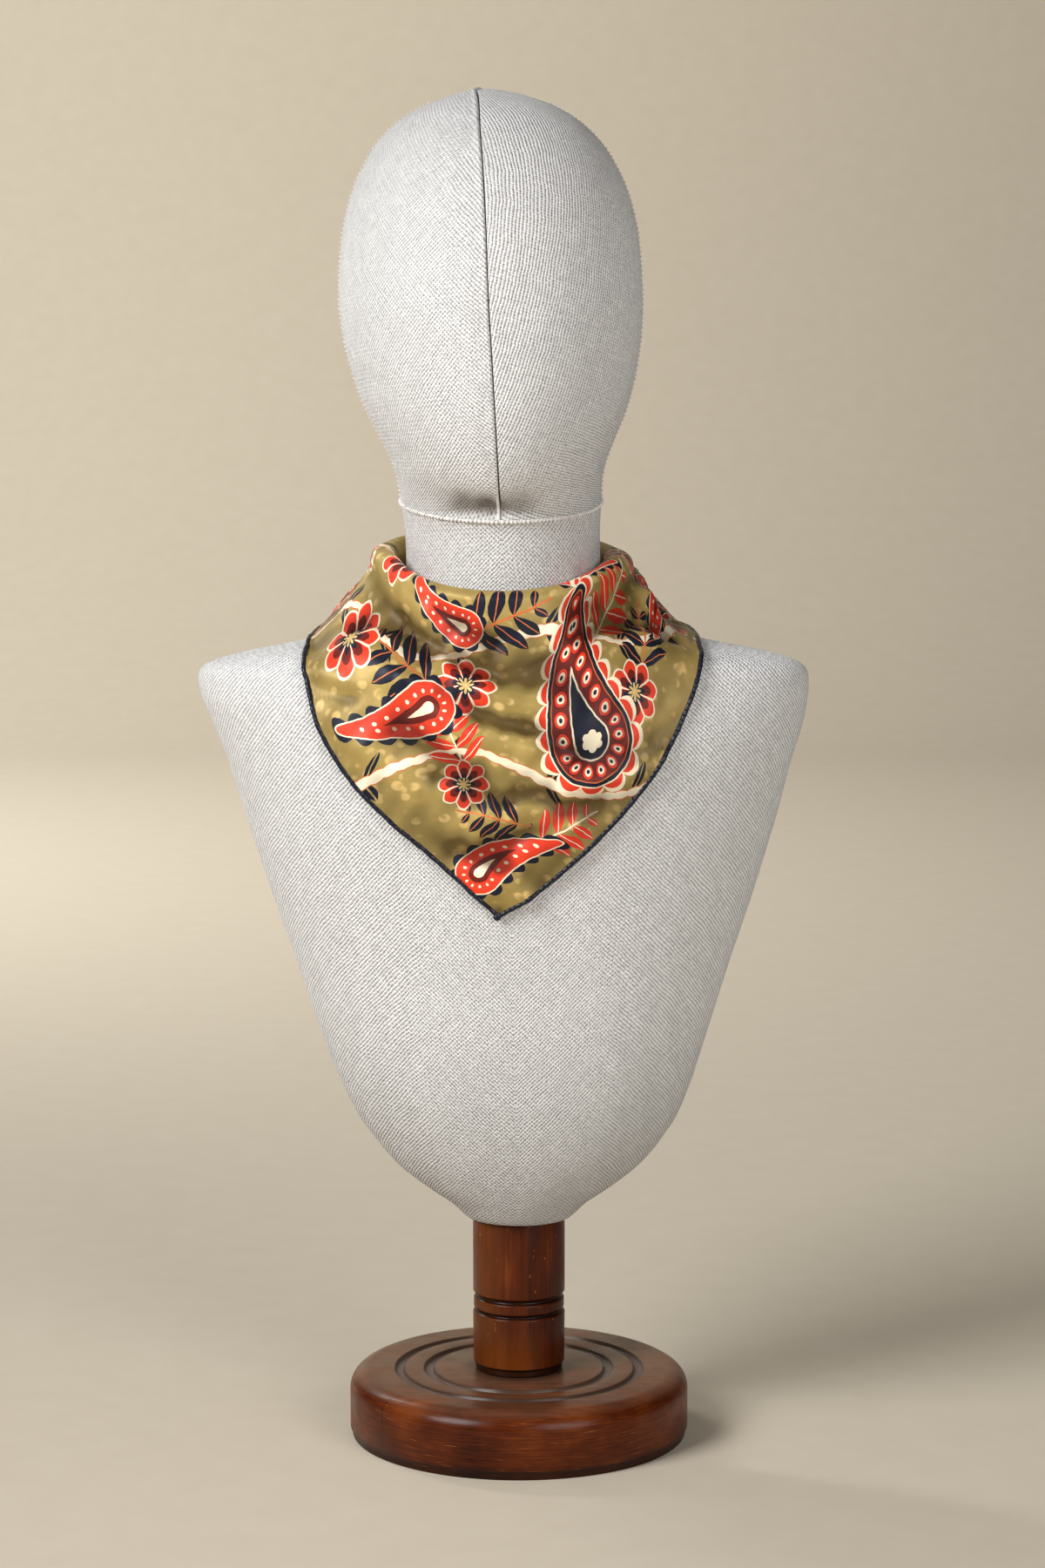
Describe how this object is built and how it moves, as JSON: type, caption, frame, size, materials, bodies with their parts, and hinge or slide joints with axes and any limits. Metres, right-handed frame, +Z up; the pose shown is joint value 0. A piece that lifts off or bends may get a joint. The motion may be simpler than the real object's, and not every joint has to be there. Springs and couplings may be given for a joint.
{
  "type": "silk bandana scarf on a display form",
  "caption": "Printed silk bandana scarf, folded to a triangle and tied at the nape, on a limbless linen-covered head and bust form with a turned wooden post and base.",
  "frame": {"origin": "on the surface that the base stands on, under the axis of the post and the base", "axes": "+Z up along the post, -Y towards the front of the form and the point of the scarf, +X towards the viewer's right"},
  "size_m": [0.3168, 0.1982, 0.703],
  "materials": {
    "linen": "matt plain-weave linen, pale grey-white",
    "silk": "satin silk with a paisley print on olive-gold",
    "hem_silk": "hand-rolled navy silk edge, satin",
    "wood": "reddish-brown turned wood with a gloss lacquer",
    "core": "unfinished moulded core, hidden under the linen"
  },
  "bodies": {
    "root": {"base": "wood", "post": "wood", "form_core": "core", "torso_front": "linen", "torso_back": "linen", "neck_band": "linen", "head_front_left": "linen", "head_front_right": "linen", "head_back_left": "linen", "head_back_right": "linen", "scarf_front": "silk", "scarf_shoulder_left": "silk", "scarf_shoulder_right": "silk", "scarf_turn_in": "silk", "scarf_knot": "silk", "scarf_tail_left": "silk", "scarf_tail_right": "silk", "hem_left": "hem_silk", "hem_right": "hem_silk"}
  },
  "joints": []
}
